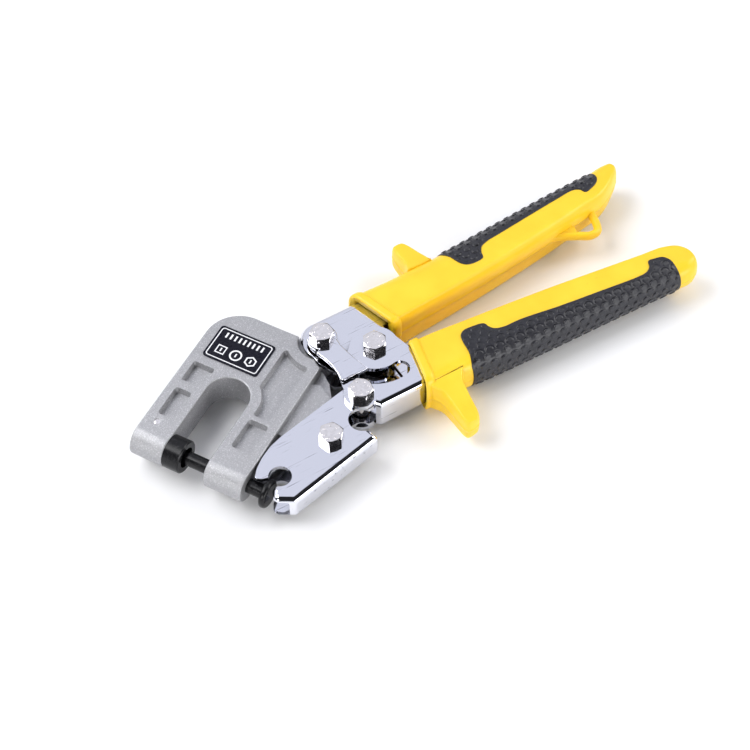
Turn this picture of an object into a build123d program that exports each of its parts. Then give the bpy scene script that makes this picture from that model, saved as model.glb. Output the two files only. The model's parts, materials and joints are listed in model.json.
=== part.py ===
from build123d import *
import os
from math import cos, radians, sin

# Hand crimper for metal stud framing, closed and locked, lying flat.
# Working frame: origin on the handle pivot (bolt C) at mid thickness, +X towards the handle ends,
# +Y towards the fixed handle, +Z up. place() moves the finished pieces to the bottom centre.

# ---- levels, counted from the mid-plane
SHEET = 2.0
GAP = 0.15
TONGUE_HALF = 4.5
LEVEL_1 = TONGUE_HALF + GAP
LEVEL_1_TOP = LEVEL_1 + SHEET
LEVEL_2 = LEVEL_1_TOP + GAP
LEVEL_2_TOP = LEVEL_2 + SHEET
LEVEL_3 = LEVEL_2_TOP + GAP
LEVEL_3_TOP = LEVEL_3 + SHEET
REST_Z = -12.05
FAR = 200.0

# ---- bolt places (A lock, B drive, C handle pivot, D lever pivot)
BOLT_A = (-18.4, 15.2)
BOLT_B = (-18.9, -19.3)
BOLT_C = (0.0, 0.0)
BOLT_D = (-41.6, -31.5)

# ---- M6 bolts, nuts and bushes
SHANK_R = 3.0
BOLT_HOLE_R = 3.05
HEX_FLATS = 10.0
HEX_HEAD = 4.0
HEX_CHAMFER = 1.05
NUT_HEIGHT = 3.2
BUSH_R = 4.0
SEAT_FIT = 0.02
BUSH_FIT = 0.05
NUT_FIT = 0.03
PLAY = 0.05
HEAD_DOTS = 7
HEAD_DOT_R = 0.42

# ---- motion
OPEN_DEG = 20.0
LEVER_RATIO = 1.05
LOCK_RATIO = 0.9
PUNCH_MM_PER_DEG = 0.68

# ---- head casting, in its own axes: u along the arms, w across them
HEAD_ANGLE = 30.7
HEAD_HALF = 8.0
HEAD_U = (-94.2, -10.6)
HEAD_W = (16.05, 71.8)
HEAD_CORNER_R = 16.5
THROAT_W = (34.7, 55.5)
THROAT_ARCH_U = -54.7
PUNCH_U = -86.4
POCKET_DEPTH = 3.2
POCKET_TAPER = 12
LOCK_BOSS_R = 10.8
LABEL_SIZE = (18.8, 28.1, 0.4)
LABEL_PLACE = (-30.4, 52.7)

# ---- die and punch
DIE_R = 7.7
DIE_BORE_R = 4.8
DIE_SHANK_R = 5.0
DIE_W = (47.3, 68.0)
PUNCH_R = 3.25
PUNCH_TIP_W = 50.0
PUNCH_DISC_R = 6.5
PUNCH_DISC_W = (5.2, 8.3)
PUNCH_POINT = 4.0
PIN_R = 1.5
PIN_PLACE = (-80.2, 65.2)

# ---- punch lever, in its own axes: a along the channel, n across it, origin on bolt D
LEVER_ANGLE = 11.6
LEVER_TOP_N = 15.3
LEVER_WEB_N = -13.7
BEND_OUTER_R = 3.0
BEND_INNER_R = 1.0

# ---- handle channels and handles
FIXED_CHANNEL_END = 88.0
MOVING_CHANNEL_END = 50.0
FIXED_WEB_Y = 28.0
MOVING_WEB_Y = -29.5
SLOT_R = 17.3
SLOT_WIDTH = 8.4
SLOT_ANGLES = (229.0, 281.0)
HANDLE_HALF = 11.5
HANDLE_END_HALF = 8.23
HANDLE_END_X = 159.8
RIM_PROUD = 1.1
RIM_WIDTH = 4.8
GRIP_PROUD = 0.5
GRIP_DEPTH = 1.0
GUARD_HALF = 6.2
EDGE_R = 3.8
SOCKET_ROOM = 0.4
LOOP_HALF = 2.2
FIXED_FRONT = ((12.9, 5.2), (5.1, 30.6))
MOVING_FRONT = ((13.4, 7.0), (7.4, 31.0))
FIXED_GUARD = [(32.0, 30), (38.6, 46.6), (44.6, 46.6), (53.0, 30)]
MOVING_GUARD = [(11.5, 29), (12.9, 57.9), (20.8, 56.1), (25.5, 29)]
FIXED_GRIP = [(54, 44), (54.8, 29), (58.8, 19.0), (61.5, 15.6), (69.8, 15.8), (71.5, 21.0), (76.5, 23.6),
              (122, 28.4), (131.5, 28.4), (134.4, 24.2), (143.0, 26.0), (145.4, 30.5), (144.6, 44)]
MOVING_GRIP = [(25.5, 44), (31.0, 33.0), (34.0, 20.0), (36.5, 15.2), (48.0, 16.2), (50.0, 21.6),
               (63, 23.1), (124, 31.2), (132.0, 30.4), (133.5, 26.1), (142.0, 27.6), (143.8, 32.0), (141, 44)]


# ---- small builders
def slab(sketch, z_low, z_high):
    """A flat piece cut from a plan outline."""
    return extrude(Pos(0, 0, z_low) * sketch, z_high - z_low, dir=(0, 0, 1))


def outline(points):
    return make_face(Polyline(*points, close=True))


def at(centre, shape):
    return Pos(centre[0], centre[1], 0) * shape


def drill(place, radius):
    """A cutter right through the tool."""
    return at(place, slab(Circle(radius), -FAR / 2, FAR / 2))


def on_side(block, side):
    """Pieces are drawn for the fixed handle; side -1 mirrors them to the moving one."""
    return block if side > 0 else mirror(block, Plane.XZ)


def rounded(sketch, places, radius):
    """Rounds the corners of an outline that lie nearest to the given places."""
    corners = [sketch.vertices().sort_by_distance((x, y, 0))[0] for x, y in places]
    return fillet(corners, radius)


def turned(point, centre, angle):
    dx, dy = point[0] - centre[0], point[1] - centre[1]
    c, s = cos(radians(angle)), sin(radians(angle))
    return (centre[0] + c * dx - s * dy, centre[1] + s * dx + c * dy)


def to_local(point, origin, angle):
    """A plan point seen from axes turned by angle about origin."""
    x, y = turned(point, origin, -angle)
    return (x - origin[0], y - origin[1])


def hexagon_prism(z_low, z_high, turn, chamfer_top):
    """Hexagon bar whose end faces are turned down to a circle."""
    bar = slab(RegularPolygon(HEX_FLATS / 2, 6, major_radius=False, rotation=turn), z_low, z_high)
    height = z_high - z_low
    corner_r = HEX_FLATS / 2 / cos(radians(30))
    cone_r = corner_r + height / 0.5
    face_r = corner_r - HEX_CHAMFER
    low_r, high_r = (cone_r, face_r) if chamfer_top else (face_r, cone_r)
    return bar & Pos(0, 0, (z_low + z_high) / 2) * Cone(low_r, high_r, height)


def bolt(head_z, end_z, turn):
    """Hex bolt: head resting on head_z, shank down to end_z, grade dots round the top."""
    top = head_z + HEX_HEAD
    body = hexagon_prism(head_z, top, turn, True)
    body += slab(Circle(SHANK_R), end_z + 0.5, head_z)
    body += Pos(0, 0, end_z + 0.25) * Cone(SHANK_R - 0.5, SHANK_R, 0.5)
    for index in range(HEAD_DOTS):
        spot = turned((3.5, 0), (0, 0), turn + 15 + index * 360 / HEAD_DOTS)
        body += at(spot, slab(Circle(HEAD_DOT_R), top - 0.1, top + 0.2))
    return body


def nut(top_z, turn):
    body = hexagon_prism(top_z - NUT_HEIGHT, top_z, turn, False)
    return body - drill((0, 0), SHANK_R + NUT_FIT)


def bush(outer_r, half_height):
    return slab(Circle(outer_r) - Circle(SHANK_R + NUT_FIT), -half_height, half_height)


def drive_bolt_at(angle):
    """Where bolt B stands once the moving handle has opened by angle."""
    return turned(BOLT_B, BOLT_C, -angle)


# ---- head casting
def head_frame(shape):
    return Rot(0, 0, HEAD_ANGLE) * shape


def head_point(u, w):
    return turned((u, w), (0, 0), HEAD_ANGLE)


A_HEAD = to_local(BOLT_A, (0, 0), HEAD_ANGLE)


def head_plan():
    """Plan outline of the thick part of the casting."""
    length, width = HEAD_U[1] - HEAD_U[0], HEAD_W[1] - HEAD_W[0]
    middle = ((HEAD_U[0] + HEAD_U[1]) / 2, (HEAD_W[0] + HEAD_W[1]) / 2)
    plan = at(middle, Rectangle(length, width))
    plan = rounded(plan, [(HEAD_U[1], HEAD_W[1])], HEAD_CORNER_R)
    throat_middle = (THROAT_W[0] + THROAT_W[1]) / 2
    throat_r = (THROAT_W[1] - THROAT_W[0]) / 2
    reach = THROAT_ARCH_U - HEAD_U[0] + 10
    plan -= at((THROAT_ARCH_U - reach / 2, throat_middle), Rectangle(reach, 2 * throat_r))
    plan -= at((THROAT_ARCH_U, throat_middle), Circle(throat_r))
    plan -= at(A_HEAD, Circle(LOCK_BOSS_R))
    plan -= outline([(-21.4, 10), (-21.4, 16.6), (-17.6, 22.6), A_HEAD, (0, 24), (0, 10)])
    return plan


def relief(plan):
    """A cast pocket with sloping walls, cut into the top and the bottom face."""
    upper = extrude(Pos(0, 0, HEAD_HALF) * plan, -POCKET_DEPTH, taper=POCKET_TAPER)
    return upper + mirror(upper, Plane.XY)


def pocket(points, corner_r):
    plan = outline(points)
    plan = fillet(plan.vertices(), corner_r)
    return relief(plan)


def head_pockets():
    arch = (THROAT_ARCH_U, (THROAT_W[0] + THROAT_W[1]) / 2)
    near_corner = pocket([(-55.8, 60.6), (-55.8, 67.8), (-44.2, 67.8), (-44.2, 57.2), (-46.4, 57.2),
                          (-50.6, 59.6)], 1.0)
    die_arm = pocket([(-76.1, 59.5), (-76.1, 67.6), (-60.2, 67.6), (-60.2, 59.3)], 1.4)
    punch_arm = pocket([(-76.7, 20.7), (-76.7, 30.3), (-60.4, 30.0), (-60.4, 20.3)], 1.5)
    long_plan = outline([(-58, 21.6), (-58, 29.6), (-49.8, 31.2), (-43.6, 35), (-15, 35), (-15, 20.4)])
    long_plan -= at(A_HEAD, Circle(16.2))
    long_plan -= at(arch, Circle(15.4))
    long_plan = fillet(long_plan.vertices(), 1.2)
    return [near_corner, die_arm, punch_arm, relief(long_plan)]


def tongue():
    """Thin web of the casting that runs between the channel plates and carries bolts A and D."""
    pad_right = -30.5
    web_half = 2.6
    pad = outline([(-60, -16), (-50.0, -34.6), (-33.9, -36.2), (pad_right, -26), (pad_right, -3.5),
                   (-36, 1)]) + at(BOLT_D, Circle(9.0))
    web = outline([(-40, 0), (-32, -14.4), (pad_right, -13.6), (-26.2, -4.0), (-24.6, 9), (-14, 19),
                   (-20, 22), (-36, 10)])
    neck = outline([head_point(-26, 19), head_point(-26, 36), head_point(-12, 36),
                    head_point(-5.5, 30), head_point(-4, 16), head_point(-14, 14.6)])
    neck += at(BOLT_A, Circle(8.0))
    solid = slab(pad, -TONGUE_HALF, TONGUE_HALF) + slab(web, -web_half, web_half)
    return solid + slab(neck, -TONGUE_HALF, TONGUE_HALF)


def head_casting():
    """The U-shaped head: arm ends half round, reliefs on both faces, bores for punch and die."""
    block = slab(head_plan(), -HEAD_HALF, HEAD_HALF)
    arm_axis_u = HEAD_U[0] + HEAD_HALF
    middle_w = (HEAD_W[0] + HEAD_W[1]) / 2
    round_end = Pos(arm_axis_u, middle_w, 0) * Rot(90, 0, 0) * Cylinder(HEAD_HALF, 70)
    straight = Pos(arm_axis_u / 2, middle_w, 0) * Box(-arm_axis_u, 70, 2 * HEAD_HALF)
    block = block & (round_end + straight)
    flats = block.faces().sort_by(Axis.Z)
    face_edges = flats[-1].edges() + flats[0].edges()
    soft = [edge for edge in face_edges if abs(edge.center().X - arm_axis_u) > 0.5]
    block = fillet(soft, 0.7)
    for cut in head_pockets():
        block -= cut
    block -= along_w(PUNCH_R + BUSH_FIT, HEAD_W[0] - 10, THROAT_W[0] + 10)
    block -= along_w(DIE_SHANK_R + SEAT_FIT, THROAT_W[1] - 5, DIE_W[1] + 0.3)
    block -= at(PIN_PLACE, slab(Circle(PIN_R + SEAT_FIT), 0, HEAD_HALF + 1))
    solid = head_frame(block) + tongue()
    return solid - drill(BOLT_A, BOLT_HOLE_R) - drill(BOLT_D, BUSH_R + SEAT_FIT)


def label_plate():
    size_u, size_w, thickness = LABEL_SIZE
    plate = at(LABEL_PLACE, RectangleRounded(size_u, size_w, 1.6))
    return head_frame(slab(plate, HEAD_HALF, HEAD_HALF + thickness))


def along_w(radius, w_low, w_high):
    """A cylinder on the punch axis."""
    return Pos(PUNCH_U, (w_low + w_high) / 2, 0) * Rot(90, 0, 0) * Cylinder(radius, w_high - w_low)


def die_ring():
    ring = along_w(DIE_R, DIE_W[0], THROAT_W[1])
    ring = chamfer(ring.edges().sort_by(Axis.Y)[0], 0.5)
    ring += along_w(DIE_SHANK_R, THROAT_W[1], DIE_W[1])
    groove = along_w(DIE_SHANK_R + 1, PIN_PLACE[1] - 1.8, PIN_PLACE[1] + 1.8)
    ring -= groove - along_w(DIE_SHANK_R - 0.5, PIN_PLACE[1] - 3, PIN_PLACE[1] + 3)
    ring -= along_w(DIE_BORE_R, DIE_W[0] - 1, THROAT_W[1] + 1.5)
    return head_frame(ring)


def die_retaining_pin():
    return head_frame(at(PIN_PLACE, slab(Circle(PIN_R), 0.0, HEAD_HALF - 0.3)))


def punch():
    """Rod with a piercing point and a round head that the lever's hook holds."""
    rod = along_w(PUNCH_R, PUNCH_DISC_W[1], PUNCH_TIP_W - PUNCH_POINT)
    tip = Pos(PUNCH_U, PUNCH_TIP_W - PUNCH_POINT / 2, 0) * Rot(-90, 0, 0) * Cone(PUNCH_R, 1.3, PUNCH_POINT)
    disc = along_w(PUNCH_DISC_R, *PUNCH_DISC_W)
    disc = fillet(disc.edges().filter_by(GeomType.CIRCLE), 1.3)
    return head_frame(rod + tip + disc)


# ---- punch lever
def lever_slot():
    """Elongated hole that lets the drive bush slide while both pivots stay fixed."""
    hole = Sketch()
    steps = 12
    for index in range(steps + 1):
        opening = OPEN_DEG * index / steps
        seen = turned(drive_bolt_at(opening), BOLT_D, -LEVER_RATIO * opening)
        place = to_local(seen, BOLT_D, LEVER_ANGLE)
        hole += at(place, Circle(BUSH_R + 0.12))
    return hole


def lever_plan():
    lobe = to_local(BOLT_B, BOLT_D, LEVER_ANGLE)
    lobe_r = LEVER_TOP_N - lobe[1]
    plan = outline([(-16, LEVER_TOP_N), (lobe[0], LEVER_TOP_N), lobe, (15.6, 1), (15.6, LEVER_WEB_N),
                    (-33.0, LEVER_WEB_N), (-38.6, -8.2), (-39.2, -5.4), (-36.4, -2.4), (-30, 1.2),
                    (-36.2, 4.6), (-38.1, 7.0), (-34.3, 10.0), (-29.0, 12.6), (-22.5, 14.6)])
    plan = rounded(plan, [(-36.4, -2.4), (-36.2, 4.6), (-38.1, 7.0)], 1.0)
    plan = rounded(plan, [(-39.2, -5.4), (-38.6, -8.2)], 2.6)
    plan = rounded(plan, [(-34.3, 10.0), (-29.0, 12.6), (-22.5, 14.6), (-16, LEVER_TOP_N)], 9)
    plan = rounded(plan, [(15.6, LEVER_WEB_N), (-33.0, LEVER_WEB_N)], 1.5)
    plan += at(lobe, Circle(lobe_r))
    plan -= at((16.4, -2.2), Circle(6.2))
    return plan - at((-29.6, 0.2), Circle(5.1))


def bent_channel(plan, web_y, inner_half):
    """Two plates of the given outline joined by a web, bent round along the outline's outer edge web_y."""
    outward = 1 if web_y > 0 else -1
    block = slab(plan, -inner_half - SHEET, inner_half + SHEET)
    bends = block.edges().filter_by(Axis.X).filter_by(lambda edge: abs(edge.center().Y - web_y) < 0.1)
    block = fillet(bends, BEND_OUTER_R)
    inner = Pos(0, web_y - outward * (SHEET + FAR / 2), 0) * Box(2 * FAR, FAR, 2 * inner_half)
    corners = inner.edges().filter_by(Axis.X).filter_by(lambda edge: outward * edge.center().Y > 0)
    return block - fillet(corners, BEND_INNER_R)


def punch_lever():
    lever = bent_channel(lever_plan(), LEVER_WEB_N, LEVEL_1)
    lever -= drill((0, 0), BUSH_R + BUSH_FIT)
    lever -= slab(lever_slot(), -FAR / 2, FAR / 2)
    return at(BOLT_D, Rot(0, 0, LEVER_ANGLE) * lever)


# ---- handle channels and lock plate
def fixed_channel():
    plan = outline([(-17.4, FIXED_WEB_Y), (FIXED_CHANNEL_END, FIXED_WEB_Y), (FIXED_CHANNEL_END, 16.6),
                    (10.2, 9.4), (8, -4), (-8, -6.5), (-15, -5.5), (-22.6, -1.8), (-25.6, 5.6),
                    (-26.4, 17.4)])
    plan = rounded(plan, [(-22.6, -1.8)], 2.5)
    plan += at((-17.4, FIXED_WEB_Y - 9), Circle(9)) + at(BOLT_A, Circle(8.6)) + at(BOLT_C, Circle(10))
    channel = bent_channel(plan, FIXED_WEB_Y, LEVEL_1)
    return channel - drill(BOLT_A, BOLT_HOLE_R) - drill(BOLT_C, BUSH_R + SEAT_FIT)


def curved_slot():
    """Banana slot about the handle pivot."""
    start, stop = SLOT_ANGLES
    middle = turned((SLOT_R, 0), (0, 0), (start + stop) / 2)
    ends = [turned((SLOT_R, 0), (0, 0), angle) for angle in (start, stop)]
    path = ThreePointArc(ends[0], middle, ends[1])
    return make_face(offset(path, SLOT_WIDTH / 2, side=Side.BOTH))


def moving_channel():
    web_left = -14.5
    plan = outline([(-8.0, 7.6), (9.6, 5.4), (13, -8.8), (MOVING_CHANNEL_END, -12.4),
                    (MOVING_CHANNEL_END, MOVING_WEB_Y), (web_left, MOVING_WEB_Y),
                    (web_left - 2.4, -26.7), (-24.4, -13.8), (-23.2, -8)])
    plan = rounded(plan, [(web_left, MOVING_WEB_Y)], 1.2)
    plan += at(BOLT_C, Circle(11)) + at(BOLT_B, Circle(7.7))
    plan -= curved_slot()
    channel = bent_channel(plan, MOVING_WEB_Y, LEVEL_2)
    return channel - drill(BOLT_B, BOLT_HOLE_R) - drill(BOLT_C, BUSH_R + BUSH_FIT)


def lock_plate():
    """Single plate on top that hooks over the drive bolt and holds the handles closed."""
    plan = outline([(-25.0, 9.0), (-23.6, 4.0), (-22.9, 0.0), (-22.9, -5.3), (-23.5, -9.0),
                    (-22.4, -10.4), (-10.0, -10.6), (-11.9, -3.1), (-12.9, 2.1), (-13.6, 7.0),
                    (-13.2, 13.5)])
    plan = rounded(plan, [(-22.9, 0.0), (-22.9, -5.3), (-12.9, 2.1), (-11.9, -3.1)], 8)
    plan += at(BOLT_A, Circle(6.9))
    plan -= at(BOLT_B, Circle(9.0))
    return slab(plan, LEVEL_3, LEVEL_3_TOP) - drill(BOLT_A, BOLT_HOLE_R)


def lock_spacer():
    ring = Circle(6.0) - Circle(SHANK_R + NUT_FIT)
    return at(BOLT_A, slab(ring, LEVEL_1_TOP, LEVEL_3 - PLAY))


def return_spring():
    """Torsion spring on the pivot bush, one leg on each channel's web."""
    wire_r, coil_r, turns = 0.6, 6.0, 4
    pitch = 1.6
    height = pitch * turns
    coil = Helix(pitch, height, coil_r, center=(0, 0, -height / 2))
    start, end = coil @ 0, coil @ 1
    wire = sweep(Plane(origin=start, z_dir=coil % 0) * Circle(wire_r), path=coil)
    ends = wire.faces().filter_by(GeomType.PLANE).sort_by(Axis.Z)
    clearance = SHEET + wire_r + 0.05
    low_reach = start.Y - (MOVING_WEB_Y + clearance)
    top_reach = FIXED_WEB_Y - clearance - end.Y
    low_leg = extrude(ends[0], low_reach, dir=(0, -1, 0))
    return wire + low_leg + extrude(ends[-1], top_reach, dir=(0, 1, 0))


# ---- plastic handles; drawn for the fixed handle, the moving one is the mirror image
def handle_plan(grow, front):
    """Plan outline from the collar's front line to the rounded tip."""
    inner_edge = [(-4, 5.4), (20, 6.6), (46, 8.5), (75, 11.2), (105, 14.6), (130, 17.8), (145, 20.2)]
    outer_edge = [(146, 38.0), (122, 37.3), (92, 36.2), (57, 34.4), (26, 32.4), (-4, 30.2)]
    inner_edge = [(x, y - grow) for x, y in inner_edge]
    outer_edge = [(x, y + grow) for x, y in outer_edge]
    tip = (HANDLE_END_X + grow, 30.0)
    lines = Spline(*inner_edge) + ThreePointArc(inner_edge[-1], tip, outer_edge[0])
    lines += Spline(*outer_edge) + Line(outer_edge[-1], inner_edge[0])
    plan = make_face(lines)
    plan = rounded(plan, [inner_edge[-1], outer_edge[0]], 9)
    return plan & behind_line(front)


def behind_line(front):
    """The plan area on the handle's side of a slanting front line."""
    (x0, y0), (x1, y1) = front
    slope = (x1 - x0) / (y1 - y0)
    low, high = -20, 80
    return outline([(x0 + slope * (low - y0), low), (x0 + slope * (high - y0), high), (FAR, high),
                    (FAR, low)])


def handle_blank(grow, front, side):
    """The handle's envelope: plan outline, thinner towards the tip, rounded on its outer side."""
    thick, thin = HANDLE_HALF + grow, HANDLE_END_HALF + grow
    start, stop = -20, 170
    wedge_plan = Plane.XZ * Polygon((start, thick), (stop, thin), (stop, -thin), (start, -thick),
                                    align=None)
    wedge = extrude(wedge_plan, FAR / 2, both=True)
    block = slab(handle_plan(grow, front), -20, 20) & wedge
    return on_side(soften(block, grow), side)


def soften(block, grow):
    """Rounds the long top and bottom edges, which run on round the tip."""
    long_edges = [edge for edge in block.edges() if abs(edge.center().Z) > 6 and edge.length > 60]
    return fillet(long_edges, EDGE_R + grow)


def collar_rim(front, side):
    """Raised flange round the handle's mouth; the tool rests on it, level with its nuts."""
    (x0, y0), (x1, y1) = front
    back = ((x0 + RIM_WIDTH, y0), (x1 + RIM_WIDTH, y1))
    band = handle_blank(RIM_PROUD, front, side) - on_side(slab(behind_line(back), -20, 20), side)
    return band & Box(2 * FAR, 2 * FAR, -2 * REST_Z)


def finger_guard(points, side):
    """Tapered fin that stands out from the handle's outer side."""
    fin = slab(fillet(outline(points).vertices(), 1.8), -GUARD_HALF, GUARD_HALF)
    flats = fin.faces().sort_by(Axis.Z)
    return on_side(chamfer(flats[-1].edges() + flats[0].edges(), 0.8), side)


def grip_region(points, side):
    """Plan area of the soft grip, with rounded corners on the handle's top face."""
    plan = outline(points)
    plan = fillet(plan.vertices().filter_by(lambda corner: corner.Y < 40), 1.6)
    return on_side(slab(plan, -FAR / 2, FAR / 2), side)


def channel_socket(mouth, end, web_y, half, side):
    """Socket in the handle that takes the channel; mouth and end lie on the channel's free edge."""
    ahead, room, fit = -30, SOCKET_ROOM, SOCKET_ROOM / 2
    plan = outline([(ahead, mouth[1] - room), (mouth[0], mouth[1] - room),
                    (end[0] + room, end[1] - room), (end[0] + room, web_y + fit), (ahead, web_y + fit)])
    return on_side(slab(plan, -half - fit, half + fit), side)


def lanyard_loop():
    """Solid fin that joins the handle's inner edge, and the eye cut through it."""
    loop = outline([(108, 18), (116.5, 11.2), (125.4, 5.4), (131.6, 6.6), (134.6, 12.2), (137, 22)])
    loop = rounded(loop, [(125.4, 5.4), (131.6, 6.6), (134.6, 12.2)], 3.0)
    eye = outline([(120.6, 15.9), (126.2, 9.0), (130.2, 9.0), (131.6, 16.6)])
    eye = fillet(eye.vertices(), 1.4)
    return slab(loop, -LOOP_HALF, LOOP_HALF), slab(eye, -LOOP_HALF - 0.1, LOOP_HALF + 0.1)


def handle(front, guard, grip_points, socket, side):
    """Returns the yellow body and the black grip let into it."""
    body = handle_blank(0, front, side) + collar_rim(front, side) + finger_guard(guard, side)
    if side > 0:
        loop, eye = lanyard_loop()
        body = body + loop - eye
    region = grip_region(grip_points, side)
    seat = region - handle_blank(-GRIP_DEPTH, front, side)
    grip = handle_blank(GRIP_PROUD, front, side) & seat
    return body - seat - socket, grip


# ---- the whole tool
def build():
    nodes = {}
    nodes["head_casting"] = head_casting()
    nodes["label_plate"] = label_plate()
    nodes["die_ring"] = die_ring()
    nodes["die_retaining_pin"] = die_retaining_pin()
    nodes["punch"] = punch()
    nodes["punch_lever"] = punch_lever()
    nodes["fixed_handle_channel"] = fixed_channel()
    nodes["moving_handle_channel"] = moving_channel()
    nodes["lock_plate"] = lock_plate()
    nodes["lock_spacer"] = lock_spacer()
    nodes["return_spring"] = return_spring()
    nodes["pivot_sleeve"] = at(BOLT_C, bush(BUSH_R, LEVEL_2_TOP + PLAY))
    nodes["lever_sleeve"] = at(BOLT_D, bush(BUSH_R, LEVEL_1_TOP + PLAY))
    nodes["drive_sleeve"] = at(BOLT_B, bush(BUSH_R, LEVEL_2 - PLAY))
    nut_c = LEVEL_2_TOP + PLAY
    nut_a = LEVEL_1_TOP + PLAY
    flush, proud = 0.2, -0.6
    nodes["handle_pivot_bolt"] = at(BOLT_C, bolt(nut_c, -nut_c - NUT_HEIGHT + flush, 0))
    nodes["handle_pivot_nut"] = at(BOLT_C, nut(-nut_c, 10))
    nodes["drive_bolt"] = at(BOLT_B, bolt(nut_c, -nut_c - NUT_HEIGHT + flush, 20))
    nodes["drive_nut"] = at(BOLT_B, nut(-nut_c, 25))
    nodes["lock_bolt"] = at(BOLT_A, bolt(LEVEL_3_TOP + PLAY, -nut_a - NUT_HEIGHT + proud, 35))
    nodes["lock_nut"] = at(BOLT_A, nut(-nut_a, 5))
    nodes["lever_pivot_bolt"] = at(BOLT_D, bolt(nut_a, -nut_a - NUT_HEIGHT + proud, 50))
    nodes["lever_pivot_nut"] = at(BOLT_D, nut(-nut_a, 40))
    fixed_socket = channel_socket((10.2, 9.4), (FIXED_CHANNEL_END, 16.6), FIXED_WEB_Y, LEVEL_1_TOP, 1)
    moving_socket = channel_socket((13, 8.8), (MOVING_CHANNEL_END, 12.4), -MOVING_WEB_Y, LEVEL_2_TOP, -1)
    fixed = handle(FIXED_FRONT, FIXED_GUARD, FIXED_GRIP, fixed_socket, 1)
    moving = handle(MOVING_FRONT, MOVING_GUARD, MOVING_GRIP, moving_socket, -1)
    nodes["fixed_handle_body"], nodes["fixed_handle_grip"] = fixed
    nodes["moving_handle_body"], nodes["moving_handle_grip"] = moving
    return nodes


def place_offset(nodes):
    """Moves the origin to the bottom centre of the whole tool."""
    box = Compound(children=[Compound(list(shape.solids())) for shape in nodes.values()]).bounding_box()
    return Vector(-box.center().X, -box.center().Y, -box.min.Z)


def main():
    nodes = build()
    shift = place_offset(nodes)
    os.makedirs("parts", exist_ok=True)
    for name, shape in nodes.items():
        solids = [Pos(shift.X, shift.Y, shift.Z) * solid for solid in shape.solids()]
        export_step(solids[0] if len(solids) == 1 else Compound(solids), f"parts/{name}.step")
        print(name, len(solids))
    print("shift", shift)


if __name__ == "__main__":
    main()
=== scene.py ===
import json
import math

import bmesh
import bpy
import numpy as np
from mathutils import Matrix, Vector


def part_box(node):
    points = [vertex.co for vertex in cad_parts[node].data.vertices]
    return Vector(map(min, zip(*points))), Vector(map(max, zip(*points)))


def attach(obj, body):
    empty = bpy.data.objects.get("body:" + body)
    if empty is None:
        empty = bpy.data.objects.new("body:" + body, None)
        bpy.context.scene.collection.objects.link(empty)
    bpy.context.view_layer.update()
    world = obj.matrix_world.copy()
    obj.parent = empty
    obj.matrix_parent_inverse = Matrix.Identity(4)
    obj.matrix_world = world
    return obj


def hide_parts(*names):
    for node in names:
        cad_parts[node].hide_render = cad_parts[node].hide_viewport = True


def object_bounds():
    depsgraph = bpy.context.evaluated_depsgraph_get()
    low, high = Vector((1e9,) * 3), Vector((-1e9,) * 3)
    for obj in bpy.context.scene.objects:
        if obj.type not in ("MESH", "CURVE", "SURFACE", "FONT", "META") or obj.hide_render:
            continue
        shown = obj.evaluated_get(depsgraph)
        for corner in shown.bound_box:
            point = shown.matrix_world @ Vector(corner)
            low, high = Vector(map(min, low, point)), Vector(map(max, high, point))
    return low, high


# Hand crimper for metal studs, in metres. The steel and cast pieces are the CAD nodes themselves with
# softened edges; the moulded handles, their grips and the label's print are built here around them.
MM = 0.001
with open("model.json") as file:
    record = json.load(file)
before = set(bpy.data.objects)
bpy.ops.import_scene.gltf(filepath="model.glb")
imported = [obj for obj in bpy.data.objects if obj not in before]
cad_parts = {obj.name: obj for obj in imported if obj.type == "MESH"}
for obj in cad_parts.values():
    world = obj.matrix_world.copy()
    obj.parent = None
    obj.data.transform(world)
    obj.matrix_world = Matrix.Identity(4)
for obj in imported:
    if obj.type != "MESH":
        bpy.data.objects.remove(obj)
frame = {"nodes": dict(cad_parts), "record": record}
cad_low, cad_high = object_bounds()
pivot_low, pivot_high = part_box("pivot_sleeve")
PIVOT = (pivot_low + pivot_high) / 2          # handle pivot at mid thickness
nodes = frame["nodes"]

FIXED = "head_and_fixed_handle"
MOVING = "moving_handle"

# ---- handle sizes in millimetres from the pivot; +x along the handles, y away from the tool's axis
HALF_AT_PIVOT = 11.15       # half thickness where the handle line passes the pivot
HALF_AT_TIP = 8.4
TIP_X = 156.5
STEP = 0.9                  # spacing of points along the outline
FRONT_FADE = 14.0           # length over which the outline bends into the slanting mouth
ROUND_ROWS = 11             # rows of points round each edge
INWARD_STEP = 0.5           # last ring lies this far inside the edge of the flat face
SEAM_HALF = 0.12            # mould seam: a fine raised line at mid thickness
SEAM_PROUD = 0.1

RIM_WIDTH = 4.8             # raised band round each handle's mouth
RIM_PROUD = 0.95
MOUTH_DEPTH = 7.0
FLAT_POINTS = 14            # points across the flat faces at the mouth

GRIP_INSET = 10.0           # rounded outer edge under the grips, as in the handle outlines
GRIP_FULLNESS = 2.15
GRIP_PROUD = 0.45
GRIP_EDGE = 0.6             # width of the grip's rounded rim
GRIP_SINK = 0.7             # its border goes this far into the handle
GRIP_STEP = 0.26
GRIP_ROWS = 211
PLAIN_BORDER = 1.4          # no scales this near the grip's rim
SCALE_FADE = 0.5
SCALE_PITCH = 5.3           # raised scales on the grips
SCALE_ROW = 3.1
SCALE_LENGTH = 1.75         # half sizes of one scale
SCALE_WIDTH = 1.3
SCALE_WALL = 0.16           # share of a scale taken by its steep edge
SCALE_HEIGHT = 0.5
SCALE_GROOVE = 0.3          # depth of the groove round a scale
GROOVE_RADIUS = 1.12        # in scale radii
GROOVE_WIDTH = 0.14

PLAN_STEP = 0.6             # spacing of points along the guards and the loop's web
OUTLINE_WELD = 1e-6         # metres
HEAD_ANGLE = math.radians(30.7)


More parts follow.
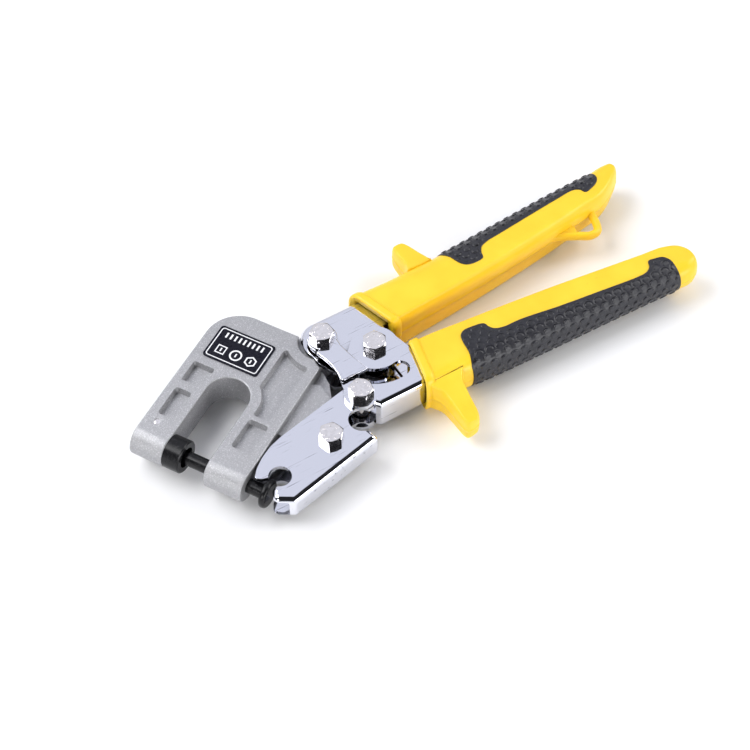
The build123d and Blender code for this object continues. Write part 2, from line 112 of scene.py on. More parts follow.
# ---- geometry helpers
def to_world(points, side=1):
    """Millimetres from the pivot to the row frame in metres; side -1 mirrors to the moving handle."""
    p = np.asarray(points, float) * MM
    p = p * np.array([1, side, 1])
    return p + np.array(PIVOT)


def new_object(name, vertices, faces):
    mesh = bpy.data.meshes.new(name)
    mesh.from_pydata([tuple(v) for v in vertices], [], [tuple(f) for f in faces])
    mesh.validate()
    bm = bmesh.new()
    bm.from_mesh(mesh)
    bmesh.ops.remove_doubles(bm, verts=bm.verts, dist=OUTLINE_WELD)
    bmesh.ops.recalc_face_normals(bm, faces=bm.faces)
    bm.to_mesh(mesh)
    bm.free()
    obj = bpy.data.objects.new(name, mesh)
    bpy.context.scene.collection.objects.link(obj)
    for polygon in mesh.polygons:
        polygon.use_smooth = True
    return obj


def strip_faces(rings, count, closed):
    """Quads between neighbouring rings of count points each."""
    faces = []
    for r in range(rings - 1):
        for i in range(count if closed else count - 1):
            j = (i + 1) % count
            faces.append((r * count + i, r * count + j, (r + 1) * count + j, (r + 1) * count + i))
    return faces


def cap_faces(rings, count):
    last = (rings - 1) * count
    return [tuple(range(last, last + count)), tuple(range(count - 1, -1, -1))]


def smooth_line(points, step):
    """A smooth line through points, with values carried in further columns, sampled at an even step."""
    p = np.asarray(points, float)
    ends = np.vstack([2 * p[0] - p[1], p, 2 * p[-1] - p[-2]])
    gaps = np.sqrt(np.linalg.norm(np.diff(ends[:, :2], axis=0), axis=1))
    t = np.concatenate([[0], np.cumsum(gaps)])
    fine = []
    for i in range(1, len(ends) - 2):
        t0, t1, t2, t3 = t[i - 1:i + 3]
        for u in np.linspace(t1, t2, 60, endpoint=False):
            a1 = (t1 - u) / (t1 - t0) * ends[i - 1] + (u - t0) / (t1 - t0) * ends[i]
            a2 = (t2 - u) / (t2 - t1) * ends[i] + (u - t1) / (t2 - t1) * ends[i + 1]
            a3 = (t3 - u) / (t3 - t2) * ends[i + 1] + (u - t2) / (t3 - t2) * ends[i + 2]
            b1 = (t2 - u) / (t2 - t0) * a1 + (u - t0) / (t2 - t0) * a2
            b2 = (t3 - u) / (t3 - t1) * a2 + (u - t1) / (t3 - t1) * a3
            fine.append((t2 - u) / (t2 - t1) * b1 + (u - t1) / (t2 - t1) * b2)
    fine = np.array(fine + [p[-1]])
    length = np.concatenate([[0], np.cumsum(np.linalg.norm(np.diff(fine[:, :2], axis=0), axis=1))])
    places = np.linspace(0, length[-1], max(int(length[-1] / step), 2) + 1)
    return np.stack([np.interp(places, length, fine[:, k]) for k in range(fine.shape[1])], axis=1)


def inward_normals(line, window, closed=False):
    """Unit normals to the left of the line, averaged over a few points so that insets don't cross."""
    if closed:
        ahead, behind = np.roll(line, -1, axis=0), np.roll(line, 1, axis=0)
        tangent = ahead[:, :2] - behind[:, :2]
    else:
        tangent = np.gradient(line[:, :2], axis=0)
    normal = np.stack([-tangent[:, 1], tangent[:, 0]], axis=1)
    normal /= np.linalg.norm(normal, axis=1)[:, None]
    if window:
        kernel = np.hanning(2 * window + 3)[1:-1]
        kernel /= kernel.sum()
        mode = "wrap" if closed else "edge"
        padded = np.pad(normal, ((window, window), (0, 0)), mode=mode)
        normal = np.stack([np.convolve(padded[:, k], kernel, "valid") for k in (0, 1)], axis=1)
        normal /= np.linalg.norm(normal, axis=1)[:, None]
    return normal


def half_thickness(x):
    return HALF_AT_PIVOT + (HALF_AT_TIP - HALF_AT_PIVOT) * np.clip(x, 0, None) / TIP_X


def round_rows():
    """Angles from the widest point of the edge to the flat face, one for each row."""
    return np.linspace(0.0, 1.0, ROUND_ROWS) * math.pi / 2


def profile(angle, power):
    """Superellipse from the widest point (1, 0) to the flat top (0, 1)."""
    return np.cos(angle) ** (2 / power), np.sin(angle) ** (2 / power)


# ---- moulded handles
def front_x(front, y):
    (x0, y0), (x1, y1) = front
    return x0 + (x1 - x0) * (y - y0) / (y1 - y0)


def handle_rings(line, front):
    """Rings of points from the underside's flat, round the edge, to the top flat."""
    normal = inward_normals(line, 5)
    reach = np.concatenate([[0], np.cumsum(np.linalg.norm(np.diff(line[:, :2], axis=0), axis=1))])
    from_end = np.minimum(reach, reach[-1] - reach)
    fade = np.clip(1 - from_end / FRONT_FADE, 0, 1) ** 2
    power = line[:, 3]

    def half(inset):
        """Rings from beside the seam to the flat face, for the given inset of that face."""
        made = []
        for angle in round_rows():
            out, up = profile(angle, power)
            out = np.ones(len(line)) * out
            up = np.ones(len(line)) * up
            if angle == round_rows()[-1]:
                out, up = out * 0, up * 0 + 1
            plan = line[:, :2] + normal * (inset * (1 - out))[:, None]
            plan[:, 0] += (front_x(front, plan[:, 1]) - front_x(front, line[:, 1])) * fade
            made.append(np.column_stack([plan, up * half_thickness(plan[:, 0])]))
        made[0][:, 2] = SEAM_HALF
        inner = made[-1].copy()
        inner[:, :2] += normal * INWARD_STEP
        inner[:, 0] += (front_x(front, inner[:, 1]) - front_x(front, made[-1][:, 1])) * fade
        return made + [inner]

    upper = half(line[:, 2])
    lower = [ring * np.array([1, 1, -1]) for ring in reversed(half(line[:, 4]))]
    seam = upper[0].copy()
    seam[:, :2] -= normal * SEAM_PROUD
    seam[:, 2] = 0
    return lower + [seam] + upper


def handle_shell(name, line, front, side):
    rings = handle_rings(line, front)
    faces = strip_faces(len(rings), len(line), closed=False) + cap_faces(len(rings), len(line))
    return new_object(name, to_world(np.vstack(rings), side), faces), rings


def section_loop(rings):
    """The closed section of the handle at its mouth, as points (y, z), starting at the inner seam."""
    start = [(r[0][1], r[0][2]) for r in rings]
    end = [(r[-1][1], r[-1][2]) for r in rings]
    middle = len(rings) // 2

    def between(a, b):
        return [(a[0] + (b[0] - a[0]) * k / FLAT_POINTS, a[1]) for k in range(1, FLAT_POINTS)]

    top = between(start[-1], end[-1])
    low = between(end[0], start[0])
    loop = start[middle:] + top + end[::-1] + low + start[:middle]
    return np.array(loop)


def loop_normals(loop):
    tangent = np.roll(loop, -1, axis=0) - np.roll(loop, 1, axis=0)
    normal = np.stack([tangent[:, 1], -tangent[:, 0]], axis=1)
    normal /= np.linalg.norm(normal, axis=1)[:, None]
    centre = loop.mean(0)
    outward = np.sign(((loop - centre) * normal).sum(1).mean())
    return normal * outward


def band_around(name, loop, front, steps, side, mouth):
    """Rings swept round the mouth: each step is (distance along the handle, proud of the surface)."""
    normal = loop_normals(loop)
    rings = []
    for along, proud in steps:
        ring = loop + normal * proud
        rings.append(np.column_stack([front_x(front, ring[:, 0]) + along, ring]))
    (y_low, y_high), z_half = mouth
    y = np.clip(loop[:, 0], y_low, y_high)
    z = np.clip(loop[:, 1], -z_half, z_half)
    for along in (steps[0][0], MOUTH_DEPTH):
        rings.insert(0, np.column_stack([front_x(front, y) + along, y, z]))
    faces = strip_faces(len(rings), len(loop), closed=True)
    faces.append(tuple(range(len(loop))))
    return new_object(name, to_world(np.vstack(rings), side), faces)


def collar(name, rings, front, mouth, side):
    """Raised band round the handle's mouth, with the mouth's own wall inside it."""
    loop = section_loop(rings)
    steps = [(0.9, -0.9), (0.1, -0.55), (0.0, 0.0), (0.35, RIM_PROUD * 0.75), (1.2, RIM_PROUD),
             (RIM_WIDTH - 1.4, RIM_PROUD), (RIM_WIDTH - 0.45, RIM_PROUD * 0.7), (RIM_WIDTH, 0.05),
             (RIM_WIDTH + 0.3, -0.6)]
    return band_around(name, loop, front, steps, side, mouth)


def pillow(name, line, half, inset, power, side):
    """A closed plan outline with rounded edges; half is its half thickness at the root and the tip."""
    low, high = line[:, 1].min(), line[:, 1].max()
    normal = inward_normals(line, 2, closed=True)
    turn = np.cross(np.roll(line, -1, axis=0)[:, :2] - line[:, :2], line[:, :2] - line[:, :2].mean(0)).sum()
    if turn > 0:
        normal = -normal
    upper = []
    for angle in round_rows():
        out, up = profile(angle, power)
        if angle == round_rows()[-1]:
            out, up = 0.0, 1.0
        plan = line[:, :2] + normal * inset * (1 - out)
        upper.append(np.column_stack([plan, up * np.interp(plan[:, 1], [low, high], half)]))
    seam_ring = upper[0].copy()
    seam_ring[:, :2] -= normal * SEAM_PROUD
    beside = upper[0].copy()
    beside[:, 2] = SEAM_HALF
    upper = [beside] + upper[1:]
    rings = [r * np.array([1, 1, -1]) for r in reversed(upper)] + [seam_ring] + upper
    faces = strip_faces(len(rings), len(line), closed=True) + cap_faces(len(rings), len(line))
    return new_object(name, to_world(np.vstack(rings), side), faces)


def closed_line(points, step):
    """Smooth closed outline through points."""
    p = np.asarray(points, float)
    wrapped = np.vstack([p[-2:], p, p[:3]])
    line = smooth_line(wrapped, step)
    first = np.argmin(np.linalg.norm(line[:, :2] - p[0][:2], axis=1)[:len(line) // 2])
    from_start = np.linalg.norm(line[:, :2] - p[0][:2], axis=1)
    from_start[:len(line) // 2] = np.inf
    return line[first:np.argmin(from_start)]


def handle_grip(name, line, top_line, side):
    """Soft grip: wraps from its top edge line over the outer side to the same line underneath."""
    outer = line[np.argmax(line[:, 0]):]
    x_of, y_of = outer[::-1, 0], outer[::-1, 1]
    table_angle = np.linspace(0, math.pi / 2, 200)
    out, up = profile(table_angle, GRIP_FULLNESS)
    half_ref = half_thickness(100.0)                # near the grips' middle
    arc_y, arc_z = GRIP_INSET * (1 - out), half_ref * up
    arc = np.concatenate([[0], np.cumsum(np.hypot(np.diff(arc_y), np.diff(arc_z)))])
    quarter = arc[-1]

    def section(x, c):
        """Point (y, z) of the handle's surface at arc distance c from its outermost line."""
        y_out = np.interp(x, x_of, y_of)
        half = half_thickness(x)
        s = np.sign(c)
        d = np.abs(c)
        on_arc = d < quarter
        a = np.interp(np.clip(d, 0, quarter), arc, table_angle)
        o, u = profile(a, GRIP_FULLNESS)
        y = np.where(on_arc, y_out - GRIP_INSET * (1 - o), y_out - GRIP_INSET - (d - quarter))
        z = np.where(on_arc, half * u, half)
        return y, z * s

    limit = smooth_line(top_line, 0.25)
    x_low, x_high = limit[:, 0].min() + 0.01, limit[:, 0].max() - 0.01
    columns = int((x_high - x_low) / GRIP_STEP)
    xs = np.linspace(x_low, x_high, columns)
    flat_edge = np.interp(limit[:, 0], x_of, y_of) - GRIP_INSET
    c_line = quarter + (flat_edge - limit[:, 1])
    order = np.argsort(limit[:, 0], kind="stable")
    c_top = np.interp(xs, limit[order, 0], c_line[order])
    share = np.linspace(-1, 1, GRIP_ROWS)
    x_grid = np.repeat(xs[:, None], GRIP_ROWS, axis=1)
    c_grid = c_top[:, None] * share[None, :]
    y, z = section(x_grid, c_grid)
    beside = 0.05
    y2, z2 = section(x_grid, c_grid + beside)
    y1, z1 = section(x_grid, c_grid - beside)
    ty, tz = y2 - y1, z2 - z1
    length = np.hypot(ty, tz)
    ny, nz = tz / length, -ty / length

    edge_c = c_top[:, None] - np.abs(c_grid)
    edge_x = np.minimum(x_grid - x_low, x_high - x_grid)
    edge = np.minimum(edge_c, edge_x)
    rise = scale_height(x_grid, c_grid) * np.clip((edge - PLAIN_BORDER) / SCALE_FADE, 0, 1)
    rim = 1 - np.clip(edge / GRIP_EDGE, 0, 1)
    proud = GRIP_PROUD * np.sqrt(np.clip(1 - rim ** 2, 0, 1)) + rise
    proud[:, 0] = proud[:, -1] = -GRIP_SINK
    proud[0, :] = proud[-1, :] = -GRIP_SINK
    points = np.stack([x_grid, y + ny * proud, z + nz * proud], axis=-1).reshape(-1, 3)
    return new_object(name, to_world(points, side), strip_faces(columns, GRIP_ROWS, closed=False))


def scale_height(x, c):
    """Staggered raised scales, each higher on one side, with a shallow groove round it."""
    total, groove = np.zeros_like(x), np.zeros_like(x)
    row0 = np.floor(c / SCALE_ROW)
    for dr in (-1, 0, 1):
        row = row0 + dr
        centre_c = (row + 0.5) * SCALE_ROW
        shift = np.where(np.mod(row, 2) == 0, 0.0, SCALE_PITCH / 2)
        col0 = np.floor((x - shift) / SCALE_PITCH)
        for dx in (-1, 0, 1):
            centre_x = (col0 + dx + 0.5) * SCALE_PITCH + shift
            u = (x - centre_x) / SCALE_LENGTH
            v = (c - centre_c) / SCALE_WIDTH
            radius = np.sqrt(u * u + v * v)
            slope = np.clip(0.45 + 0.55 * v - 0.15 * u, 0, 1)
            wall = np.clip((1.0 - radius) / SCALE_WALL, 0, 1)
            total = np.maximum(total, SCALE_HEIGHT * slope * wall * wall * (3 - 2 * wall))
            groove = np.maximum(groove, slope * np.exp(-((radius - GROOVE_RADIUS) / GROOVE_WIDTH) ** 2))
    return total - SCALE_GROOVE * groove


# ---- shader helpers
def material(name):
    mat = bpy.data.materials.new(name)
    mat.use_nodes = True
    tree = mat.node_tree
    tree.nodes.clear()
    out = tree.nodes.new("ShaderNodeOutputMaterial")
    shader = tree.nodes.new("ShaderNodeBsdfPrincipled")
    tree.links.new(shader.outputs["BSDF"], out.inputs["Surface"])
    return mat, tree, shader


def node(tree, kind, inputs=None, **settings):
    made = tree.nodes.new(kind)
    for key, value in settings.items():
        setattr(made, key, value)
    for key, value in (inputs or {}).items():
        if isinstance(value, bpy.types.NodeSocket):
            tree.links.new(value, made.inputs[key])
        else:
            made.inputs[key].default_value = value
    return made


def coords(tree, scale=(1, 1, 1), rotation=(0, 0, 0)):
    """Object coordinates in millimetres."""
    where = node(tree, "ShaderNodeTexCoord")
    size = tuple(s / MM for s in scale)
    return node(tree, "ShaderNodeMapping", {"Vector": where.outputs["Object"], "Scale": size,
                                            "Rotation": rotation}).outputs["Vector"]


def noise(tree, vector, scale, detail=3.0, rough=0.55):
    return node(tree, "ShaderNodeTexNoise", {"Vector": vector, "Scale": scale, "Detail": detail,
                                             "Roughness": rough}).outputs["Fac"]


def ramp(tree, value, low, high, out_low, out_high):
    return node(tree, "ShaderNodeMapRange", {"Value": value, "From Min": low, "From Max": high,
                                             "To Min": out_low, "To Max": out_high}).outputs["Result"]


def mix_colour(tree, factor, first, second):
    made = tree.nodes.new("ShaderNodeMix")
    made.data_type = "RGBA"
    for socket, value in ((made.inputs[0], factor), (made.inputs[6], first), (made.inputs[7], second)):
        if isinstance(value, bpy.types.NodeSocket):
            tree.links.new(value, socket)
        else:
            socket.default_value = value
    return made.outputs[2]


def maths(tree, operation, a, b):
    made = node(tree, "ShaderNodeMath", operation=operation)
    for socket, value in zip(made.inputs, (a, b)):
        if isinstance(value, bpy.types.NodeSocket):
            tree.links.new(value, socket)
        else:
            socket.default_value = value
    return made.outputs[0]


def painted_occlusion_shade(tree, distance_mm, low, high):
    """Painted shade: 0 deep inside a slot or channel, where ambient occlusion finds little open sky, 1 on
    open faces.
    """
    shade = node(tree, "ShaderNodeAmbientOcclusion", {"Distance": distance_mm * MM}, samples=8)
    return ramp(tree, shade.outputs["AO"], low, high, 0, 1)


def bump(tree, shader, height, distance_mm, strength):
    made = node(tree, "ShaderNodeBump", {"Height": height, "Distance": distance_mm * MM,
                                         "Strength": strength})
    tree.links.new(made.outputs["Normal"], shader.inputs["Normal"])


# ---- materials
def cast_alloy():
    mat, tree, shader = material("cast_alloy")
    at = coords(tree)
    grain = noise(tree, at, 3.2, 3.0, 0.65)
    cloud = noise(tree, at, 0.12, 2.0)
    fleck = node(tree, "ShaderNodeTexVoronoi", {"Vector": at, "Scale": 3.2}).outputs["Color"]
    sparkle = node(tree, "ShaderNodeSeparateColor", {"Color": fleck}).outputs[0]
    base = mix_colour(tree, ramp(tree, grain, 0.3, 0.7, 0, 1), (0.27, 0.27, 0.283, 1),
                      (0.54, 0.54, 0.555, 1))
    base = mix_colour(tree, ramp(tree, cloud, 0.35, 0.7, 0, 0.35), base, (0.36, 0.36, 0.374, 1))
    base = mix_colour(tree, ramp(tree, sparkle, 0.84, 1.0, 0, 0.55), base, (0.80, 0.80, 0.82, 1))
    # painted shade: the base turns dark grey in pockets, slot walls and other hollows, by ambient occlusion
    base = mix_colour(tree, painted_occlusion_shade(tree, 6.0, 0.05, 0.5), (0.16, 0.16, 0.168, 1), base)
    tree.links.new(base, shader.inputs["Base Color"])
    shader.inputs["Metallic"].default_value = 0.7
    tree.links.new(ramp(tree, sparkle, 0, 1, 0.52, 0.34), shader.inputs["Roughness"])
    bump(tree, shader, maths(tree, "ADD", grain, maths(tree, "MULTIPLY", sparkle, 0.4)), 0.10, 0.8)
    return mat


def chrome():
    mat, tree, shader = material("chrome_steel")
    at = coords(tree, rotation=(0, 0, 0.72))
    wave = noise(tree, at, 0.09, 2.0)
    pits = noise(tree, at, 1.6, 4.0, 0.6)
    lines_at = coords(tree, scale=(0.05, 2.4, 1), rotation=(0, 0, 0.62))
    lines = noise(tree, lines_at, 1.0, 2.0, 0.5)
    scratch = ramp(tree, lines, 0.665, 0.72, 0, 1)
    base = mix_colour(tree, scratch, (0.80, 0.81, 0.87, 1), (0.30, 0.31, 0.36, 1))
    # painted shade: the base turns near black deep in channels and slots, by ambient occlusion
    base = mix_colour(tree, painted_occlusion_shade(tree, 10.0, 0.22, 0.56), (0.012, 0.010, 0.008, 1), base)
    tree.links.new(base, shader.inputs["Base Color"])
    shader.inputs["Metallic"].default_value = 1.0
    tree.links.new(ramp(tree, pits, 0.35, 0.75, 0.05, 0.13), shader.inputs["Roughness"])
    height = maths(tree, "ADD", wave, maths(tree, "MULTIPLY", pits, 0.015))
    height = maths(tree, "SUBTRACT", height, maths(tree, "MULTIPLY", scratch, 0.03))
    bump(tree, shader, height, 0.35, 0.6)
    return mat


def bolt_steel():
    mat, tree, shader = material("bolt_steel")
    at = coords(tree)
    stain = noise(tree, at, 0.9, 4.0, 0.6)
    grain = noise(tree, at, 5.0, 2.0)
    base = mix_colour(tree, ramp(tree, stain, 0.35, 0.65, 0, 1), (0.90, 0.87, 0.86, 1),
                      (0.80, 0.77, 0.76, 1))
    tree.links.new(base, shader.inputs["Base Color"])
    shader.inputs["Metallic"].default_value = 1.0
    tree.links.new(ramp(tree, stain, 0.3, 0.7, 0.08, 0.16), shader.inputs["Roughness"])
    bump(tree, shader, maths(tree, "ADD", stain, maths(tree, "MULTIPLY", grain, 0.2)), 0.008, 0.25)
    return mat


def black_oxide():
    mat, tree, shader = material("black_steel")
    at = coords(tree)
    wear = noise(tree, at, 0.7, 4.0, 0.6)
    base = mix_colour(tree, ramp(tree, wear, 0.55, 0.8, 0, 1), (0.007, 0.007, 0.008, 1),
                      (0.025, 0.025, 0.028, 1))
    tree.links.new(base, shader.inputs["Base Color"])
    shader.inputs["Metallic"].default_value = 0.1
    shader.inputs["Specular IOR Level"].default_value = 0.3
    tree.links.new(ramp(tree, wear, 0.3, 0.7, 0.16, 0.28), shader.inputs["Roughness"])
    bump(tree, shader, noise(tree, at, 3.0, 2.0), 0.006, 0.4)
    return mat


def spring_wire():
    mat, tree, shader = material("spring_steel")
    at = coords(tree)
    base = mix_colour(tree, noise(tree, at, 2.0), (0.06, 0.06, 0.065, 1), (0.14, 0.135, 0.13, 1))
    tree.links.new(base, shader.inputs["Base Color"])
    shader.inputs["Metallic"].default_value = 1.0
    tree.links.new(ramp(tree, noise(tree, at, 1.1), 0.3, 0.7, 0.3, 0.45), shader.inputs["Roughness"])
    return mat


def yellow_plastic():
    mat, tree, shader = material("yellow_plastic")
    at = coords(tree)
    cloud = noise(tree, at, 0.06, 2.0)
    speck = noise(tree, at, 0.55, 2.0, 0.5)
    base = mix_colour(tree, ramp(tree, cloud, 0.35, 0.65, 0, 1), (0.93, 0.59, 0.018, 1),
                      (0.95, 0.64, 0.027, 1))
    base = mix_colour(tree, ramp(tree, speck, 0.74, 0.80, 0, 0.35), base, (0.45, 0.28, 0.02, 1))
    tree.links.new(base, shader.inputs["Base Color"])
    tree.links.new(ramp(tree, speck, 0.3, 0.7, 0.30, 0.40), shader.inputs["Roughness"])
    shader.inputs["Subsurface Weight"].default_value = 0.06
    shader.inputs["Subsurface Radius"].default_value = (1.0, 0.5, 0.08)
    shader.inputs["Subsurface Scale"].default_value = 1.2 * MM
    fine = noise(tree, at, 4.0, 2.0)
    bump(tree, shader, maths(tree, "ADD", maths(tree, "MULTIPLY", speck, 0.6), fine), 0.012, 0.6)
    return mat


def black_rubber():
    mat, tree, shader = material("black_rubber")
    at = coords(tree)
    bloom = noise(tree, at, 0.35, 4.0, 0.6)
    fine = noise(tree, at, 5.0, 3.0)
    base = mix_colour(tree, ramp(tree, bloom, 0.35, 0.7, 0, 1), (0.012, 0.012, 0.017, 1),
                      (0.021, 0.021, 0.028, 1))
    # painted shade: the base turns near black in the grooves round the scales, by ambient occlusion
    base = mix_colour(tree, painted_occlusion_shade(tree, 1.0, 0.45, 0.85), (0.002, 0.002, 0.003, 1), base)
    tree.links.new(base, shader.inputs["Base Color"])
    tree.links.new(ramp(tree, bloom, 0.3, 0.7, 0.30, 0.40), shader.inputs["Roughness"])
    bump(tree, shader, fine, 0.03, 0.6)
    return mat


def label_black():
    mat, tree, shader = material("label")
    at = coords(tree)
    base = mix_colour(tree, ramp(tree, noise(tree, at, 1.2), 0.3, 0.8, 0, 1), (0.006, 0.006, 0.012, 1),
                      (0.014, 0.014, 0.022, 1))
    tree.links.new(base, shader.inputs["Base Color"])
    tree.links.new(ramp(tree, noise(tree, at, 0.6), 0.3, 0.7, 0.22, 0.34), shader.inputs["Roughness"])
    shader.inputs["Specular IOR Level"].default_value = 0.12
    return mat


def label_white():
    mat, tree, shader = material("label_print")
    at = coords(tree)
    base = mix_colour(tree, ramp(tree, noise(tree, at, 2.0), 0.3, 0.8, 0, 1), (0.88, 0.88, 0.90, 1),
                      (0.74, 0.74, 0.77, 1))
    tree.links.new(base, shader.inputs["Base Color"])
    tree.links.new(ramp(tree, noise(tree, at, 0.8), 0.3, 0.7, 0.35, 0.5), shader.inputs["Roughness"])
    return mat


def paint(obj, mat):
    obj.data.materials.clear()
    obj.data.materials.append(mat)


# ---- CAD nodes: finish and softened edges
FINISHES = {
    "cast_alloy": cast_alloy(), "chrome_steel": chrome(), "bolt_steel": bolt_steel(),
    "black_steel": black_oxide(), "spring_steel": spring_wire(), "yellow_plastic": yellow_plastic(),
    "black_rubber": black_rubber(), "label": label_black(),
}
EDGE_SOFTENING = {"cast_alloy": 0.35, "chrome_steel": 0.4, "bolt_steel": 0.1, "black_steel": 0.25,
                  "label": 0.1}           # bevel widths in millimetres
SHARP_ANGLE = math.radians(40)
WELD_GAP = 0.002
slots = {part["node"]: part["material_slot"] for part in frame["record"]["subparts"]}
for node_name, obj in nodes.items():
    finish = slots[node_name]
    paint(obj, FINISHES[finish])
    for polygon in obj.data.polygons:
        polygon.use_smooth = True
    weld = obj.modifiers.new("weld", "WELD")
    weld.merge_threshold = WELD_GAP * MM
    if finish in EDGE_SOFTENING:
        soft = obj.modifiers.new("soft_edges", "BEVEL")
        soft.width = EDGE_SOFTENING[finish] * MM
        soft.segments = 2
        soft.limit_method = "ANGLE"
        soft.angle_limit = SHARP_ANGLE
        even = obj.modifiers.new("even_shading", "WEIGHTED_NORMAL")
        even.mode = "FACE_AREA"
        even.weight = 100


# ---- the two handles
# outline points: x, y, inset of the rounded top edge, fullness of its curve, inset of the lower edge
FIXED_LINE = [(12.9, 5.2, 2.2, 3.0, 1.2), (28, 6.6, 2.4, 3.0, 1.2), (46, 7.8, 2.9, 3.0, 1.3),
              (75, 10.2, 3.9, 2.8, 1.4), (105, 13.6, 4.7, 2.7, 1.5), (129, 17.3, 4.2, 2.6, 1.5),
              (141, 19.3, 3.2, 2.5, 1.6), (147.4, 22.2, 2.8, 2.4, 1.8), (153.2, 26.0, 2.6, 2.4, 2.2),
              (157.6, 29.6, 2.6, 2.3, 2.6), (159.4, 33.2, 2.8, 2.3, 2.8), (158.0, 36.9, 3.6, 2.2, 3.6),
              (152.8, 38.4, 5.6, 2.2, 5.6), (145, 38.0, 8.4, 2.15, 8.4), (122, 37.0, 10.0, 2.15, 10.0),
              (92, 35.0, 10.0, 2.15, 10.0), (57, 32.7, 10.0, 2.15, 10.0), (28, 31.4, 9.0, 2.3, 9.0),
              (5.1, 30.6, 6.0, 2.8, 6.0)]
MOVING_LINE = [(13.4, 7.0, 2.2, 3.0, 1.2), (26, 7.5, 2.2, 3.0, 1.2), (40, 8.8, 2.2, 3.0, 1.2),
               (60, 10.5, 2.3, 3.0, 1.3), (86, 13.0, 2.4, 2.9, 1.4), (112, 16.1, 2.4, 2.8, 1.4),
               (134, 18.7, 2.4, 2.7, 1.5), (146.5, 20.0, 2.6, 2.5, 1.8), (154.2, 23.4, 2.9, 2.4, 2.4),
               (157.6, 29.8, 3.0, 2.3, 3.0), (156.4, 36.0, 4.0, 2.3, 4.0), (151.4, 39.2, 6.5, 2.2, 6.5),
               (143, 39.3, 9.2, 2.15, 9.2), (130, 38.6, 10.0, 2.15, 10.0), (101, 37.4, 10.0, 2.15, 10.0),
               (73, 36.4, 10.0, 2.15, 10.0), (46, 35.2, 10.0, 2.15, 10.0), (26, 33.8, 9.0, 2.3, 9.0),
               (7.4, 32.2, 6.0, 2.8, 6.0)]
FIXED_FRONT = ((12.9, 5.2), (5.1, 30.6))
MOVING_FRONT = ((13.4, 7.2), (7.4, 32.2))
FIXED_MOUTH = ((8.6, 28.5), 7.1)
MOVING_MOUTH = ((8.4, 29.9), 9.0)
FIXED_GRIP_TOP = [(54.5, 34.2), (54.9, 29.1), (56.7, 24.7), (58.5, 19.4), (60.8, 16.7), (64.6, 15.7),
                  (69.8, 16.4), (70.8, 19.2), (73.0, 22.3), (77.0, 23.8), (85.0, 24.8), (122.5, 29.1),
                  (130.2, 29.7), (133.6, 28.2), (135.3, 25.4), (139.1, 26.0), (143.3, 27.8), (145.4, 30.0),
                  (146.2, 33.2), (146.4, 39.2)]
MOVING_GRIP_TOP = [(31.0, 33.6), (31.6, 31.6), (33.2, 26.6), (34.2, 19.7), (35.4, 16.5), (37.9, 14.9),
                   (41.5, 14.9), (48.0, 16.3), (49.0, 19.1), (50.7, 21.2), (54.7, 22.5), (63.6, 22.9),
                   (83.5, 25.8), (104.4, 28.2), (125.5, 30.3), (129.9, 30.0), (132.8, 28.2), (134.6, 25.1),
                   (138.1, 25.4), (141.9, 26.6), (143.7, 29.4), (144.2, 34.8), (144.3, 37.8)]
FIXED_GUARD_LINE = [(37.0, 30.0), (37.6, 34.0), (38.0, 44.6), (38.8, 46.8), (43.8, 46.9), (45.4, 45.0),
                    (48.2, 36.0), (49.8, 31.5), (50.4, 30.0)]
MOVING_GUARD_LINE = [(8.6, 30.2), (10.0, 33.6), (12.0, 37.6), (12.5, 46.0), (12.6, 54.8), (13.6, 56.8),
                     (19.4, 56.2), (20.8, 54.2), (22.8, 43.0), (24.4, 36.0), (27.0, 32.0), (28.6, 30.2)]
FIXED_GUARD_HALF = (8.2, 6.8)   # half thickness at the root and at the tip
MOVING_GUARD_HALF = (9.2, 6.0)
GUARD_INSET, GUARD_FULLNESS = 1.3, 3.0

fixed_line = smooth_line(FIXED_LINE, STEP)
moving_line = smooth_line(MOVING_LINE, STEP)
for prefix, line, front, mouth, guard, guard_half, top, side, body in (
        ("fixed", fixed_line, FIXED_FRONT, FIXED_MOUTH, FIXED_GUARD_LINE, FIXED_GUARD_HALF,
         FIXED_GRIP_TOP, 1, FIXED),
        ("moving", moving_line, MOVING_FRONT, MOVING_MOUTH, MOVING_GUARD_LINE, MOVING_GUARD_HALF,
         MOVING_GRIP_TOP, -1, MOVING)):
    shell, rings = handle_shell(prefix + "_handle_shell", line, front, side)
    rim = collar(prefix + "_handle_collar", rings, front, mouth, side)
    fin = pillow(prefix + "_handle_guard", closed_line(guard, PLAN_STEP), guard_half, GUARD_INSET,
                 GUARD_FULLNESS, side)
    grip = handle_grip(prefix + "_grip_scaled", line, top, side)
    for piece in (shell, rim, fin):
        paint(piece, FINISHES["yellow_plastic"])
        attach(piece, body)
    paint(grip, FINISHES["black_rubber"])
    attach(grip, body)
    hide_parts(prefix + "_handle_body")
    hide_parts(prefix + "_handle_grip")

# ---- lanyard loop at mid thickness near the fixed handle's end
LOOP_PATH = [(104, 16.4), (110, 15.6), (116, 13.2), (121.5, 10.2), (126, 7.6), (130.6, 8.0), (133, 12.2),
             (134.5, 19)]
LOOP_WEB = [(106, 17.5), (112, 14.8), (119.0, 11.4), (121.6, 12.6), (121.4, 17.6), (113, 19)]
LOOP_POINTS = 16                # points round the loop's section
LOOP_HALF_PLAN, LOOP_HALF_HEIGHT = 2.0, 2.2
LOOP_STEP = 0.8
WEB_HALF, WEB_INSET, WEB_FULLNESS = (1.7, 1.7), 0.6, 3.0
around = np.linspace(0, 2 * math.pi, LOOP_POINTS, endpoint=False)
loop_line = smooth_line(LOOP_PATH, LOOP_STEP)
loop_normal = inward_normals(loop_line, 0)
loop_rings = [np.column_stack([np.outer(np.cos(around) * LOOP_HALF_PLAN, n) + p[:2],
                               np.sin(around) * LOOP_HALF_HEIGHT]) for p, n in zip(loop_line, loop_normal)]
loop_end = (len(loop_rings) - 1) * LOOP_POINTS
